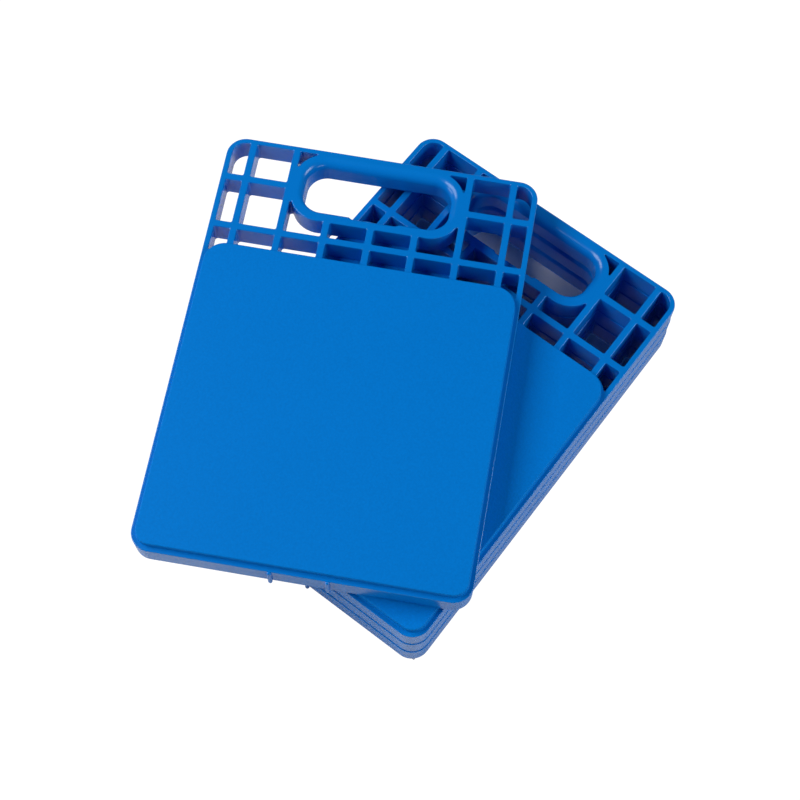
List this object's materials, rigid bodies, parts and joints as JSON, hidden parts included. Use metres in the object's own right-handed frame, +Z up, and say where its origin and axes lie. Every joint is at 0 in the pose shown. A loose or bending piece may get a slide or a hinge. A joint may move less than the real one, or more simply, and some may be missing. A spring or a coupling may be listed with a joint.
{
  "type": "stacking jack pad set",
  "caption": "Flat ribbed plastic support pads with a raised load panel, an open grid end and a hand hole; they nest in a stack, with the top one laid across.",
  "frame": {"origin": "middle of the whole set's footprint, on the ground", "axes": "+Z up, +Y along the nested stack towards its grid end and hand holes, +X across the stack to the right"},
  "size_m": [0.2448, 0.2748, 0.068],
  "materials": {
    "pad_plastic": "satin blue moulded polypropylene, fine leather grain on the load panel, smoother walls"
  },
  "bodies": {
    "bottom_pad": {"bottom_pad": "pad_plastic"},
    "second_pad": {"second_pad": "pad_plastic"},
    "third_pad": {"third_pad": "pad_plastic"},
    "top_pad": {"top_pad": "pad_plastic"}
  },
  "joints": [
    {"name": "second_pad_lift", "type": "slide", "parent": "bottom_pad", "child": "second_pad", "axis": [0, 0, 1], "range_m": [0, 0.1]},
    {"name": "third_pad_lift", "type": "slide", "parent": "second_pad", "child": "third_pad", "axis": [0, 0, 1], "range_m": [0, 0.1]},
    {"name": "top_pad_lift", "type": "slide", "parent": "third_pad", "child": "top_pad", "axis": [0, 0, 1], "range_m": [0, 0.1]}
  ]
}
